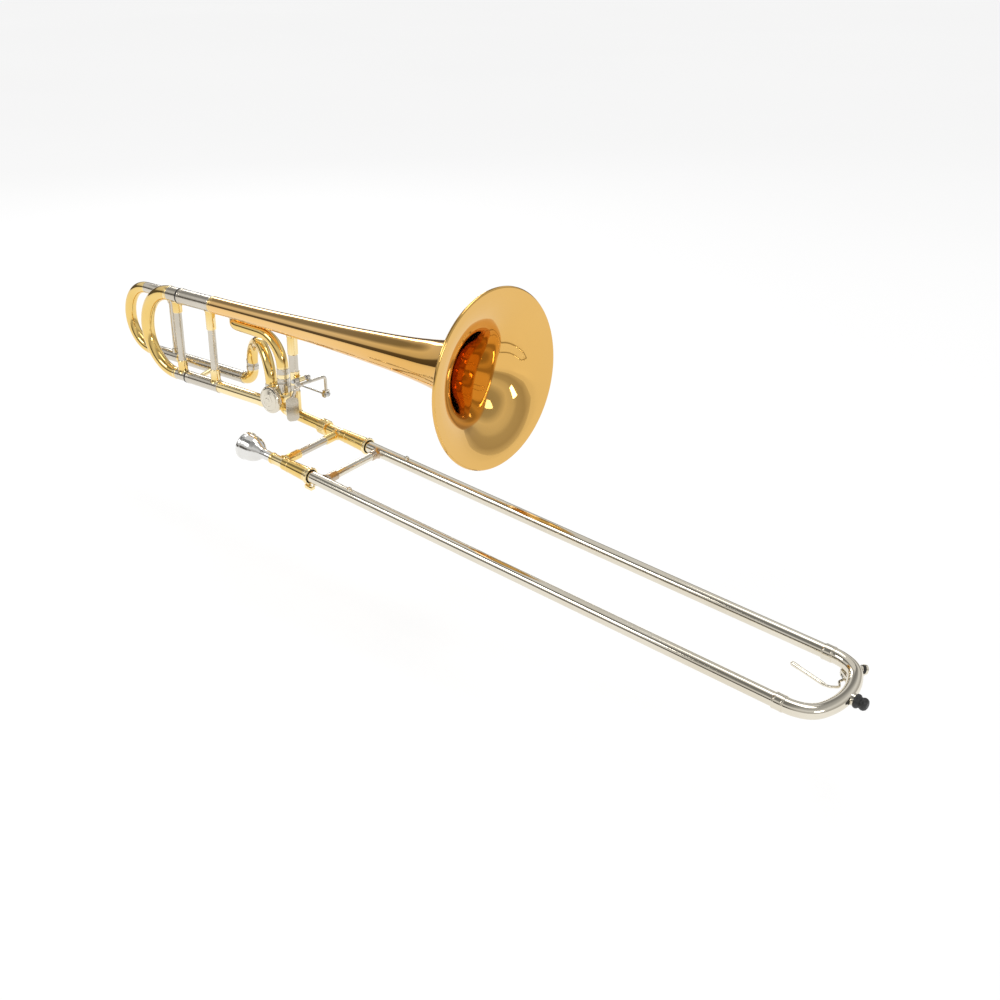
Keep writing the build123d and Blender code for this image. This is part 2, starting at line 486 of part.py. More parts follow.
keep("inner_slide_tubes", stube(139.0, 735.0, IN_R, IN_RI, 0), stube(141.0, 735.0, IN_R, IN_RI, W))
keep("slide_stockings", stube(735.0, 845.0, STOCK_R, IN_RI, 0), stube(735.0, 845.0, STOCK_R, IN_RI, W))


def cross_brace(s, r_tube, far, near, r_sock, tools, ta, tb):
    """Brace across the slide: far and near are the t spans of the sockets."""
    def sock(t0, t1, flare):
        d = 1 if t1 > t0 else -1
        ln = abs(t1 - t0)
        pts = [(0, 0), (0, flare), (2.6, flare - 1.0), (5.0, r_sock), (ln - 1.0, r_sock), (ln, r_sock - 0.6), (ln, 0)]
        b = turned(pts, origin=st(s, t0), axis=(0, -d, 0))
        bore = rod(st(s, t1 - d * 5.0), st(s, t1 + d), r_tube)
        return max(flat(cut(b, bore, *tools)), key=lambda q: q.volume)
    a = sock(far[0], far[1], r_sock + 1.6)
    b = sock(near[0], near[1], r_sock + 1.6)
    tb_ = tube(st(s, ta), st(s, tb), r_tube, r_tube - 0.9)
    return tb_, a, b


far_in = [rod(st(100, 0), st(139, 0), 7.0), rod(st(139, 0), st(150.5, 0), 8.3)]
near_in = [rod(st(116, W), st(141, W), 6.9), rod(st(139, W), st(150.5, W), 8.3), rod(st(115, W), st(121, W), 7.6)]
tb_, a_, b_ = cross_brace(134.0, 5.0, (5.0, 26.6), (W - 5.0, 71.2), 6.2, far_in + near_in, 21.6, 76.2)
keep("inner_brace_tube", SLIDE * tb_)
keep("inner_brace_sockets", SLIDE * a_, SLIDE * b_)

# ---------------------------------------------------------------- outer slide
keep("outer_slide_tubes", stube(S_TUBE0, S_TUBE1, OUT_R, OUT_RI, 0), stube(S_TUBE0, S_TUBE1, OUT_R, OUT_RI, W))
out_tools = [rod(st(160, 0), st(260, 0), OUT_R), rod(st(160, W), st(260, W), OUT_R)]
tb_, a_, b_ = cross_brace(209.0, 5.0, (5.0, 17.0), (W - 5.0, 78.0), 6.2, out_tools, 12.0, 83.0)
keep("outer_brace_tube", SLIDE * tb_)
keep("outer_brace_sockets", SLIDE * a_, SLIDE * b_)
keep("tube_studs", *[SLIDE * join(cut(rod(st(257, t, 5), st(257, t, 9.2), 3.0), rod(st(240, t), st(270, t), OUT_R)),
                                  cone(st(257, t, 9.1), st(257, t, 10.8), 1.9, 1.5)) for t in (0, W)])
PIN_S = 192.8
keep("slide_lock_pin", SLIDE * cut(rod(st(PIN_S, W, -12.9), st(PIN_S, W, -6), 1.5), rod(st(180, W), st(215, W), OUT_R)))
# lock ring: a bead round the barrel mouth with a hooked lug that turns sideways onto the pin
lock = cut(join(turned([(184.9, 9.2), (184.9, 10.8), (185.7, 11.3), (188.1, 11.3), (188.9, 10.8), (188.9, 9.2)],
                       origin=(0, -W, 0), axis=(1, 0, 0)),
                Solid.make_box(4.0, 6.4, 4.4, Plane(origin=(184.9, -W - 8.6, -13.9))),
                Solid.make_box(12.0, 6.4, 3.4, Plane(origin=(184.9, -W - 8.6, -13.9)))),
           rod(st(180, W), st(215, W), 9.2),
           Solid.make_box(3.8, 4.4, 6.0, Plane(origin=(PIN_S - 1.9, -W - 6.4, -15.4))))
keep("slide_lock_ring", SLIDE * max(flat(lock), key=lambda q: q.volume))

# end bow: flattened round, five tangent arcs
BOW_ARCS = [(0, 25, 44.9), (25, 65, 28.0), (65, 115, 78.7), (115, 155, 28.0), (155, 180, 44.9)]
BOW_K = W / 102.0
edges = [Line(st(S_TUBE1, 0), st(S_BOW, 0))]
s, t = S_BOW, 0.0
for a, b, R in BOW_ARCS:
    cs, ct = s - R * math.sin(math.radians(a)), t + R * math.cos(math.radians(a))
    edges.append(CenterArc((cs, -ct, 0), R, 90 - a, -(b - a)))
    s = cs + R * math.sin(math.radians(b))
    t = ct - R * math.cos(math.radians(b))
edges.append(Line((s, -t, 0), (S_TUBE1, -t, 0)))
BOW_END_T = t
bow_wire = Wire(edges)
bow_out = swept(bow_wire, BOW_R)
keep("slide_bow", SLIDE * swept(bow_wire, BOW_R, BOW_RI))
keep("bow_ferrules", *[SLIDE * cut(turned([(845.7, OUT_R), (845.7, 8.3), (846.3, 8.65), (857.3, 8.65), (857.9, 8.4), (857.9, BOW_R),
                             (S_TUBE1, BOW_R), (S_TUBE1, OUT_R)], origin=(0, -q, 0)), bow_out) for q in (0, W)])
boss = cut(rod(st(899, 51), st(906.6, 51), 6.4), bow_out)
keep("bumper_boss", SLIDE * max(flat(boss), key=lambda q: q.center().X))
keep("rubber_bumper", srev([(906.6, 0), (906.6, 6.2), (907.3, 7.2), (908.9, 7.6), (910.6, 7.1), (911.8, 5.9), (912.7, 5.6),
                            (913.8, 6.1), (915.6, 6.7), (917.6, 6.4), (919.4, 5.2), (920.2, 3.6), (920.2, 0)], 51.0))

# ---------------------------------------------------------------- water key on the bow
KEY_HD = 36.0
ha = math.radians(KEY_HD)
s1, t1 = S_BOW + 44.9 * math.sin(math.radians(25)), 44.9 * (1 - math.cos(math.radians(25)))
kx = s1 + 28.0 * (math.sin(ha) - math.sin(math.radians(25)))
kt = t1 + 28.0 * (math.cos(math.radians(25)) - math.cos(ha))
# local frame: x along the tube, y outwards from the bend, z up
KEY = Plane(origin=st(kx, kt), x_dir=(math.cos(ha), -math.sin(ha), 0), z_dir=(0, 0, 1)).location
LOC = SLIDE * KEY
NIP = math.radians(-18)


def kp(d, el=NIP, x=0.0):
    return (x, d * math.cos(el), d * math.sin(el))


key_tool = KEY.inverse() * bow_out
nip = cut(rod(kp(5), kp(11.4), 4.0), key_tool)
nip = max(flat(nip), key=lambda q: q.center().Y)
keep("water_key_nipple", LOC * max(flat(cut(nip, rod(kp(0), kp(14), 2.2))), key=lambda q: q.volume))
PY, PZ = -5.0, -11.6       # hinge pin, under the inside of the bow
saddle = [cut(join(Solid.make_box(2.0, 7.0, 12.0, Plane(origin=(x0, PY - 3.5, PZ - 0.5))),
                   rod((x0, PY, PZ), (x0 + 2.0, PY, PZ), 3.4)),
              rod((-12, PY, PZ), (12, PY, PZ), 1.2)) for x0 in (-6.4, 4.4)]
foot = Solid.make_box(12.8, 8.0, 3.0, Plane(origin=(-6.4, PY - 4.0, PZ + 3.9)))
sad = cut(join(*saddle, foot), key_tool)
keep("water_key_saddle", LOC * min(flat(sad), key=lambda q: q.center().Z))
keep("water_key_screw", LOC * join(rod((-8.0, PY, PZ), (7.4, PY, PZ), 1.2), rod((-9.0, PY, PZ), (-6.5, PY, PZ), 2.3)))
barrel = cut(rod((-3.9, PY, PZ), (3.9, PY, PZ), 2.6), rod((-6, PY, PZ), (6, PY, PZ), 1.26))
c15 = kp(16.6)
arm_pts = [(0, PY + 0.6, PZ - 1.9), (0, 4.0, -13.4), (0, 12.5, -12.6), (0, 17.6, -8.8), c15]
arm_w = rounded(arm_pts, [6, 6, 4])
karm = swept(arm_w, 1.45)
cup = rod(kp(14.2), kp(16.8), 5.2)
cup = cut(cup, rod(kp(13), kp(15.6), 4.5))
tail_pts = [(0, PY - 0.6, PZ - 1.6), (3.0, -14.0, -12.6), (17.5, -21.5, -7.0), (17.5, -35.5, -3.4), (-22.8, -53.8, -2.5)]
tail_w = rounded(tail_pts, [6, 6.5, 7])
ktail = swept(tail_w, 1.45)
tip = rod((-16.4, -50.9, -2.6), (-23.2, -54.0, -2.5), 2.6)
tipball = Solid.make_sphere(2.6, Plane(origin=(-23.2, -54.0, -2.5)), angle1=-90, angle2=90)
key_lever = cut(join(barrel, karm, cup, ktail, tip, tipball), rod((-6, PY, PZ), (6, PY, PZ), 1.26))
keep("water_key_lever", LOC * max(flat(key_lever), key=lambda q: q.volume))
keep("water_key_cork", LOC * rod(kp(11.7), kp(15.6), 4.5))
keep("water_key_spring", LOC * join(*[Solid.make_torus(3.05, 0.3, Plane(origin=(x, PY, PZ), z_dir=(1, 0, 0)))
                                      for x in (-3.3, -2.8, -2.3)]))

MERGE = {  # solids of the same kind on the same moving piece share a node
    "brace_tubes": ["mid_brace_tube", "front_brace_tube"],
    "brace_sockets": ["mid_brace_sockets", "front_brace_sockets"],
    "cork_barrels": ["far_cork_barrel", "near_cork_barrel"],
    "bearing_plates": ["front_bearing_plate", "rear_bearing_plate"],
    "main_slide_sleeves": ["upper_slide_sleeve", "lower_slide_sleeve"],
    "f_slide_sleeves": ["f_upper_sleeve", "f_lower_sleeve"],
    "main_inner_legs": ["upper_inner_leg", "lower_inner_leg"],
    "slide_studs": ["tube_studs", "slide_lock_pin"],
    "bow_fittings": ["bumper_boss", "water_key_nipple"],
    "f_return_tubing": ["f_return_crook", "f_elbow"],
}
for name, old in MERGE.items():
    parts[name] = flat(*[parts.pop(o) for o in old])
parts["inner_slide_tubes"] = flat(join(parts["inner_slide_tubes"][0], parts["slide_stockings"][0]),
                                  join(parts["inner_slide_tubes"][1], parts.pop("slide_stockings")[1]))
for n in parts:
    save(n)
print(len(parts), "nodes")
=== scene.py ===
import bpy
import bmesh
import math
from mathutils import Matrix, Vector


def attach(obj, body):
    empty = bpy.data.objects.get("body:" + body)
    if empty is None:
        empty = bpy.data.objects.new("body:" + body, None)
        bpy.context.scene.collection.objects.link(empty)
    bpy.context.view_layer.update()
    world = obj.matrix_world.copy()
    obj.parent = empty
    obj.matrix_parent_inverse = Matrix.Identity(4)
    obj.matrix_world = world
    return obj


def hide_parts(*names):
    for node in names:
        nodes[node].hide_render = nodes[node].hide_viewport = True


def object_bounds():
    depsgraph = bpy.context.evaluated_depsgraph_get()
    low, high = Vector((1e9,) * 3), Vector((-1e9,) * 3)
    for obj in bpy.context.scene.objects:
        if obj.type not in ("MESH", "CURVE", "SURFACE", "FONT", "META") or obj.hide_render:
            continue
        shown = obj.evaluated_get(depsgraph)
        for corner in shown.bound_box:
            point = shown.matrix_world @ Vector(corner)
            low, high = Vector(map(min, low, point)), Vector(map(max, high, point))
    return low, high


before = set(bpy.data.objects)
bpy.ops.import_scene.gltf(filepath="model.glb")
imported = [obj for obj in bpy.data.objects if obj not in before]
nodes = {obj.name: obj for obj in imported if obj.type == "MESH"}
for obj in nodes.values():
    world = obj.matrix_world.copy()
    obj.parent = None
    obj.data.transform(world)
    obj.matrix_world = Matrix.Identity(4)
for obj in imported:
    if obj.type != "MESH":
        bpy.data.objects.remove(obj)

scene = bpy.context.scene
cad_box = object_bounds()

# ------------------------------------------------------------------ camera
cam = bpy.data.cameras.new("camera")
cam.lens = 47.19
cam.sensor_width = 36.0
cam.clip_start = 0.05
cam.clip_end = 100.0
cam_ob = bpy.data.objects.new("camera", cam)
right = Vector((0.77156974, 0.63614093, 0.00220301))
down = Vector((0.25750557, -0.30915583, -0.91548542))
fwd = Vector((-0.58169668, 0.70692813, -0.40234511))
m = Matrix.Identity(4)
for i in range(3):
    m[i][0] = right[i]
    m[i][1] = -down[i]
    m[i][2] = -fwd[i]
m[0][3], m[1][3], m[2][3] = 0.92582, -1.11934, 0.48598
cam_ob.matrix_world = m
scene.collection.objects.link(cam_ob)
scene.camera = cam_ob
scene.view_settings.view_transform = "Standard"


# ------------------------------------------------------------------ materials
def nodes_of(name):
    mat = bpy.data.materials.new(name)
    mat.use_nodes = True
    nt = mat.node_tree
    nt.nodes.clear()
    out = nt.nodes.new("ShaderNodeOutputMaterial")
    bsdf = nt.nodes.new("ShaderNodeBsdfPrincipled")
    nt.links.new(bsdf.outputs[0], out.inputs[0])
    tc = nt.nodes.new("ShaderNodeTexCoord")
    return mat, nt, bsdf, tc


def noise(nt, vec, scale, detail=3.0, rough=0.5, stretch=None):
    if stretch:
        mp = nt.nodes.new("ShaderNodeMapping")
        mp.inputs["Scale"].default_value = stretch
        nt.links.new(vec, mp.inputs["Vector"])
        vec = mp.outputs[0]
    n = nt.nodes.new("ShaderNodeTexNoise")
    n.inputs["Scale"].default_value = scale
    n.inputs["Detail"].default_value = detail
    n.inputs["Roughness"].default_value = rough
    nt.links.new(vec, n.inputs["Vector"])
    return n.outputs[0]


def ramp(nt, fac, stops):
    r = nt.nodes.new("ShaderNodeValToRGB")
    els = r.color_ramp.elements
    while len(els) < len(stops):
        els.new(0.5)
    for e, (p, c) in zip(els, stops):
        e.position = p
        e.color = (*c, 1) if len(c) == 3 else c
    nt.links.new(fac, r.inputs[0])
    return r.outputs[0]


def remap(nt, fac, a, b, lo, hi):
    r = nt.nodes.new("ShaderNodeMapRange")
    r.inputs["From Min"].default_value = a
    r.inputs["From Max"].default_value = b
    r.inputs["To Min"].default_value = lo
    r.inputs["To Max"].default_value = hi
    nt.links.new(fac, r.inputs["Value"])
    return r.outputs[0]


def bump(nt, height, strength, distance, prev=None):
    b = nt.nodes.new("ShaderNodeBump")
    b.inputs["Strength"].default_value = strength
    b.inputs["Distance"].default_value = distance
    nt.links.new(height, b.inputs["Height"])
    if prev is not None:
        nt.links.new(prev, b.inputs["Normal"])
    return b.outputs[0]


def edge_mask(nt, lo=0.51, hi=0.56):
    g = nt.nodes.new("ShaderNodeNewGeometry")
    return remap(nt, g.outputs["Pointiness"], lo, hi, 0.0, 1.0)


def mixc(nt, fac, a, b):
    mx = nt.nodes.new("ShaderNodeMix")
    mx.data_type = "RGBA"
    nt.links.new(fac, mx.inputs[0])
    for sock, v in ((mx.inputs[6], a), (mx.inputs[7], b)):
        if isinstance(v, tuple):
            sock.default_value = (*v, 1)
        else:
            nt.links.new(v, sock)
    return mx.outputs[2]


def metal(name, tone_a, tone_b, rough=(0.05, 0.12), coat=0.0, scratch=0.05, grain=None, smear=6.0, worn=None):
    """Polished metal: slow tone drift, handling smears in the roughness, hairline scratches."""
    mat, nt, b, tc = nodes_of(name)
    obj = tc.outputs["Object"]
    tone = noise(nt, obj, 9.0, 4.0, 0.55)
    col = ramp(nt, tone, [(0.32, tone_a), (0.68, tone_b)])
    if worn:
        col = mixc(nt, edge_mask(nt), col, worn)
    nt.links.new(col, b.inputs["Base Color"])
    b.inputs["Metallic"].default_value = 1.0
    sm = noise(nt, obj, smear, 5.0, 0.62)
    fine = noise(nt, obj, 260.0, 2.0, 0.5, stretch=(1.0, 6.0, 6.0))
    add = nt.nodes.new("ShaderNodeMath")
    add.operation = "ADD"
    nt.links.new(remap(nt, sm, 0.35, 0.72, rough[0], rough[1]), add.inputs[0])
    nt.links.new(remap(nt, fine, 0.3, 0.7, 0.0, 0.02), add.inputs[1])
    nt.links.new(add.outputs[0], b.inputs["Roughness"])
    n = bump(nt, noise(nt, obj, 30.0, 2.0), 0.04, 0.0004)
    n = bump(nt, noise(nt, obj, 700.0, 3.0, 0.6, stretch=grain or (1.0, 8.0, 8.0)), scratch, 0.0001, n)
    nt.links.new(n, b.inputs["Normal"])
    if coat:
        b.inputs["Coat Weight"].default_value = coat
        b.inputs["Coat Roughness"].default_value = 0.03
        b.inputs["Coat IOR"].default_value = 1.5
    return mat


GOLD = metal("gold_lacquer", (0.86, 0.52, 0.24), (0.90, 0.58, 0.29), (0.04, 0.10), coat=0.35, worn=(0.95, 0.70, 0.42))
YELLOW = metal("yellow_lacquer", (0.84, 0.57, 0.17), (0.90, 0.65, 0.23), (0.05, 0.12), coat=0.2, worn=(0.97, 0.80, 0.45))
NICKEL_SILVER = metal("nickel_silver", (0.58, 0.53, 0.44), (0.68, 0.63, 0.54), (0.14, 0.24), coat=0.15, scratch=0.10)
PLATE = metal("nickel_plate", (0.72, 0.66, 0.54), (0.80, 0.75, 0.64), (0.05, 0.11), scratch=0.05)
SILVER = metal("silver_plate", (0.72, 0.71, 0.68), (0.80, 0.79, 0.76), (0.07, 0.15), scratch=0.04, worn=(0.98, 0.98, 0.97))
COPPER = metal("copper_brass", (0.50, 0.39, 0.28), (0.60, 0.48, 0.36), (0.10, 0.18), coat=0.2)
STEEL = metal("machined_steel", (0.50, 0.50, 0.49), (0.60, 0.60, 0.58), (0.18, 0.30), scratch=0.15)
INNER = metal("chromed_inner", (0.80, 0.80, 0.79), (0.86, 0.86, 0.85), (0.03, 0.07))


def bell_material():
    """Gold brass with faint spinning rings; deeper and redder down the throat."""
    mat, nt, b, tc = nodes_of("bell_brass")
    obj = tc.outputs["Object"]
    sep = nt.nodes.new("ShaderNodeSeparateXYZ")
    nt.links.new(obj, sep.inputs[0])
    tone = noise(nt, obj, 7.0, 4.0, 0.55)
    along = ramp(nt, remap(nt, sep.outputs[0], -0.30, 0.0, 0.0, 1.0),
                 [(0.0, (0.90, 0.58, 0.24)), (0.55, (0.80, 0.45, 0.12)), (0.85, (0.76, 0.44, 0.12)), (1.0, (0.77, 0.46, 0.13))])
    col = mixc(nt, remap(nt, tone, 0.3, 0.7, 0.0, 0.35), along, (0.83, 0.51, 0.16))
    nt.links.new(col, b.inputs["Base Color"])
    b.inputs["Metallic"].default_value = 1.0
    sm = noise(nt, obj, 5.0, 5.0, 0.6)
    nt.links.new(remap(nt, sm, 0.35, 0.7, 0.035, 0.085), b.inputs["Roughness"])
    n = bump(nt, noise(nt, obj, 14.0, 2.0), 0.05, 0.0006)
    n = bump(nt, noise(nt, obj, 420.0, 3.0, 0.6, stretch=(6.0, 1.0, 1.0)), 0.03, 0.0001, n)
    nt.links.new(n, b.inputs["Normal"])
    b.inputs["Coat Weight"].default_value = 0.12
    b.inputs["Coat Roughness"].default_value = 0.03
    return mat


BELL = bell_material()


def soft(name, a, b_, rough, scale, strength, dist):
    mat, nt, b, tc = nodes_of(name)
    obj = tc.outputs["Object"]
    n1 = noise(nt, obj, scale, 6.0, 0.65)
    nt.links.new(ramp(nt, n1, [(0.3, a), (0.7, b_)]), b.inputs["Base Color"])
    nt.links.new(remap(nt, noise(nt, obj, scale * 2.2, 3.0), 0.3, 0.7, rough - 0.08, rough + 0.08), b.inputs["Roughness"])
    nt.links.new(bump(nt, n1, strength, dist), b.inputs["Normal"])
    return mat


RUBBER = soft("black_rubber", (0.010, 0.010, 0.010), (0.030, 0.029, 0.028), 0.48, 420.0, 0.25, 0.0003)
CORK = soft("natural_cork", (0.20, 0.11, 0.05), (0.46, 0.30, 0.17), 0.82, 900.0, 0.6, 0.0004)
# black pad material for the real pads and bumpers; also used for the painted shade rings in the barrel mouths
PAD_AND_SHADE = soft("black_pad_and_painted_shade", (0.012, 0.012, 0.012), (0.04, 0.038, 0.036), 0.7, 900.0, 0.4, 0.0003)

LOOK = {
    "bell": BELL, "bell_stem": BELL, "bell_rim_wire": STEEL,
    "main_slide_sleeves": NICKEL_SILVER, "main_lower_tube": YELLOW, "brace_tubes": NICKEL_SILVER, "brace_sockets": YELLOW,
    "leg_braces": YELLOW, "f_slide_sleeves": NICKEL_SILVER, "f_return_tubing": YELLOW, "f_outer_branch": YELLOW,
    "f_ferrules": NICKEL_SILVER, "valve_casing": YELLOW, "valve_knuckles": YELLOW, "bearing_plates": NICKEL_SILVER,
    "valve_cap": PLATE, "stop_plate": YELLOW, "stop_bumpers": PAD_AND_SHADE, "neckpipe": YELLOW, "lever_bracket": YELLOW,
    "lever_hinge_pin": STEEL, "lever_spring": STEEL, "bell_lock_nut": YELLOW, "main_tuning_crook": YELLOW,
    "main_inner_legs": NICKEL_SILVER, "rear_brace_tube": NICKEL_SILVER, "rear_brace_sockets": YELLOW,
    "f_tuning_crook": YELLOW, "f_inner_legs": NICKEL_SILVER, "f_slide_brace": NICKEL_SILVER, "rotor": STEEL,
    "stop_arm": YELLOW, "stop_arm_screw": STEEL, "thumb_lever": NICKEL_SILVER, "thumb_paddle": NICKEL_SILVER,
    "ball_pin": STEEL, "link_rod": STEEL, "bell_receiver": YELLOW, "cork_barrels": YELLOW, "barrel_corks": CORK,
    "mouthpiece_receiver": YELLOW, "leadpipe": NICKEL_SILVER, "inner_slide_tubes": INNER, "inner_brace_tube": NICKEL_SILVER,
    "inner_brace_sockets": YELLOW, "outer_slide_tubes": PLATE, "outer_brace_tube": PLATE, "outer_brace_sockets": COPPER,
    "slide_studs": PLATE, "slide_bow": PLATE, "bow_ferrules": PLATE, "bow_fittings": PLATE, "rubber_bumper": RUBBER,
    "water_key_saddle": PLATE, "water_key_screw": STEEL, "water_key_spring": STEEL,
    "slide_lock_ring": YELLOW, "water_key_lever": PLATE, "water_key_cork": PAD_AND_SHADE, "mouthpiece": SILVER,
}
for name, ob in nodes.items():
    mat = LOOK[name]
    if not ob.data.materials:
        ob.data.materials.append(mat)
    for i in range(len(ob.data.materials)):
        ob.data.materials[i] = mat
    for s in ob.material_slots:
        s.material = mat

# ------------------------------------------------------------------ mesh tools
MM = 0.001
SO = Vector((-404.534, 0, -119.798)) * MM
SU = Vector((0.99561136, 0, -0.09358432))
SN = Vector((0.09314636, -0.09642318, 0.99097241))
SY = SN.cross(SU)
W = 102.0


def sp(s, t, h=0.0):
    return SO + (SU * s - SY * t + SN * h) * MM


def add(name, bm, mat, body, slot, smooth=True):
    me = bpy.data.meshes.new(name)
    bmesh.ops.recalc_face_normals(bm, faces=bm.faces)
    bm.to_mesh(me)
    bm.free()
    for p in me.polygons:
        p.use_smooth = smooth
    me.materials.append(mat)
    ob = bpy.data.objects.new(name, me)
    scene.collection.objects.link(ob)
    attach(ob, body)
    return ob


def lathe(bm, pts, origin, axis, segs=96, wave=None):
    """Closed (along, radius) outline in mm turned about an axis; radius 0 points close on the axis."""
    axis = Vector(axis).normalized()
    side = axis.orthogonal().normalized()
    other = axis.cross(side)
    rings = []
    for a, r in pts:
        if r <= 1e-6:
            rings.append([bm.verts.new(origin + axis * a * MM)])
            continue
        row = []
        for k in range(segs):
            ang = 2 * math.pi * k / segs
            rr = r + (wave(a, ang) if wave else 0.0)
            row.append(bm.verts.new(origin + (axis * a + (side * math.cos(ang) + other * math.sin(ang)) * rr) * MM))
        rings.append(row)
    n = len(rings)
    for i in range(n):
        A, B = rings[i], rings[(i + 1) % n]
        if len(A) == 1 and len(B) == 1:
            continue
        for k in range(segs):
            k2 = (k + 1) % segs
            if len(A) == 1:
                bm.faces.new((A[0], B[k2], B[k]))
            elif len(B) == 1:
                bm.faces.new((A[k], A[k2], B[0]))
            else:
                bm.faces.new((A[k], A[k2], B[k2], B[k]))


def bead_profile(x0, x1, r, rise, steps=9):
    """A rounded band between x0 and x1 standing rise above radius r, closed just under the surface."""
    pts = []
    for i in range(steps + 1):
        k = i / steps
        pts.append((x0 + (x1 - x0) * k, r + rise * math.sin(math.pi * k) ** 0.6))
    return pts + [(x1, r - 0.15), (x0, r - 0.15)]


def bands(name, spots, mat, body, slot, segs=96):
    """spots: (origin, axis, along, width, radius, rise)."""
    bm = bmesh.new()
    for origin, axis, x, w, r, rise in spots:
        lathe(bm, bead_profile(x - w / 2, x + w / 2, r, rise), origin, axis, segs)
    return add(name, bm, mat, body, slot)


# ------------------------------------------------------------------ bell, spun in fine rings
BELL_PTS = [
    (-513, 11.9), (-460, 12.25), (-400, 13.3), (-350, 14.85), (-300, 16.4), (-250, 18.3), (-200, 20.8), (-160, 23.2),
    (-120, 26.7), (-85, 31.6), (-55, 39.7), (-38, 47.1), (-24, 56.7), (-14, 69.3), (-7, 83.4), (-3, 95.6), (-1.2, 103.8),
]


def smooth_curve(pts, per=14):
    """Centripetal Catmull-Rom through the points."""
    P = [Vector((x, r, 0)) for x, r in pts]
    P = [P[0] * 2 - P[1]] + P + [P[-1] * 2 - P[-2]]
    out = []
    for i in range(1, len(P) - 2):
        p0, p1, p2, p3 = P[i - 1:i + 3]
        t0 = 0.0
        t1 = t0 + (p1 - p0).length ** 0.5
        t2 = t1 + (p2 - p1).length ** 0.5
        t3 = t2 + (p3 - p2).length ** 0.5
        for k in range(per):
            t = t1 + (t2 - t1) * k / per
            a1 = p0 * ((t1 - t) / (t1 - t0)) + p1 * ((t - t0) / (t1 - t0))
            a2 = p1 * ((t2 - t) / (t2 - t1)) + p2 * ((t - t1) / (t2 - t1))
            a3 = p2 * ((t3 - t) / (t3 - t2)) + p3 * ((t - t2) / (t3 - t2))
            b1 = a1 * ((t2 - t) / (t2 - t0)) + a2 * ((t - t0) / (t2 - t0))
            b2 = a2 * ((t3 - t) / (t3 - t1)) + a3 * ((t - t1) / (t3 - t1))
            out.append(b1 * ((t2 - t) / (t2 - t1)) + b2 * ((t - t1) / (t2 - t1)))
    out.append(P[-2])
    return out


outer = smooth_curve(BELL_PTS)
prof = [(p.x, p.y) for p in outer]
# rolled rim: the sheet runs out to the edge, turns over and closes on its own back
cx, cr, rb = -2.3, 107.2, 2.3
back = []
for i in range(22):
    a = math.radians(-105 - 255 * i / 21.0)
    back.append((cx + rb * math.cos(a), cr + rb * math.sin(a)))
inner = []
for i in range(len(outer) - 1, -1, -1):
    a = outer[max(i - 1, 0)]
    c = outer[min(i + 1, len(outer) - 1)]
    t = (c - a).normalized()
    q = outer[i] + Vector((t.y, -t.x, 0)) * 0.6
    if q.x > -498:
        inner.append((q.x, q.y))
inner = [(-0.05, 107.0), (-0.35, 105.2)] + inner + [(-499, 11.3), (-513, 11.3)]
full = prof + back + inner
bm = bmesh.new()
lathe(bm, full, Vector((0, 0, 0)), (1, 0, 0), 288)
bell = add("bell_spun", bm, BELL, "bell_section", "gold_lacquer")
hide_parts("bell", "bell_stem")

# ------------------------------------------------------------------ small turned details
X = (1, 0, 0)
UPL = Vector((0, 0, 0))
LOL = Vector((0, 0, -120.2)) * MM
FU = Vector((0, 36.0, -16.1)) * MM
FL = Vector((0, 36.0, -112.6)) * MM
bands("sleeve_end_bands", [
    (UPL, X, -581.2, 2.8, 11.3, 0.45), (UPL, X, -576.6, 1.0, 11.3, 0.22), (UPL, X, -514.6, 2.2, 11.3, 0.5),
    (LOL, X, -581.2, 2.8, 8.8, 0.42), (LOL, X, -577.0, 1.0, 8.8, 0.2), (LOL, X, -513.4, 2.6, 8.8, 0.4),
], NICKEL_SILVER, "bell_section", "nickel_silver")
bands("f_sleeve_bands", [
    (FU, X, -639.6, 2.8, 8.6, 0.4), (FU, X, -546.5, 2.6, 8.6, 0.35), (FL, X, -639.6, 2.8, 8.6, 0.4), (FL, X, -501.5, 2.6, 8.6, 0.35),
], NICKEL_SILVER, "bell_section", "nickel_silver")
bands("bell_tail_band", [(UPL, X, -511.6, 2.6, 11.9, 0.35), (UPL, X, -507.0, 0.9, 11.9, 0.18)], YELLOW, "bell_section", "yellow_lacquer")
bands("crook_end_bands", [(UPL, X, -608.6, 2.8, 10.72, 0.45), (LOL, X, -608.6, 2.8, 8.17, 0.4)], YELLOW, "main_tuning_slide", "yellow_lacquer")
bands("f_crook_end_bands", [(FU, X, -645.2, 2.6, 8.35, 0.35), (FL, X, -645.2, 2.6, 8.35, 0.35)], YELLOW, "f_tuning_slide", "yellow_lacquer")
far, near = sp(0, 0), sp(0, W)
bands("barrel_bands", [(far, SU, 149.6, 1.4, 8.28, 0.35), (near, SU, 149.6, 1.4, 8.28, 0.35),
                       (far, SU, 183.2, 1.0, 9.68, 0.3), (near, SU, 183.2, 1.0, 9.68, 0.3)], YELLOW, "inner_slide", "yellow_lacquer")
bands("bow_ferrule_bands", [(far, SU, 847.4, 1.4, 8.6, 0.3), (near, SU, 847.4, 1.4, 8.6, 0.3),
                            (far, SU, 855.8, 1.4, 8.6, 0.3), (near, SU, 855.8, 1.4, 8.6, 0.3)], PLATE, "outer_slide", "nickel_plate")

# dark joints where the inner legs leave the main sleeves
bm = bmesh.new()
for o, r0, r1 in ((UPL, 10.74, 11.6), (LOL, 8.19, 9.1)):
    lathe(bm, [(-584.9, r0), (-584.9, r1), (-582.7, r1), (-582.7, r0)], o, X, 96)
add("sleeve_mouth_joints", bm, PAD_AND_SHADE, "bell_section", "black_cork")


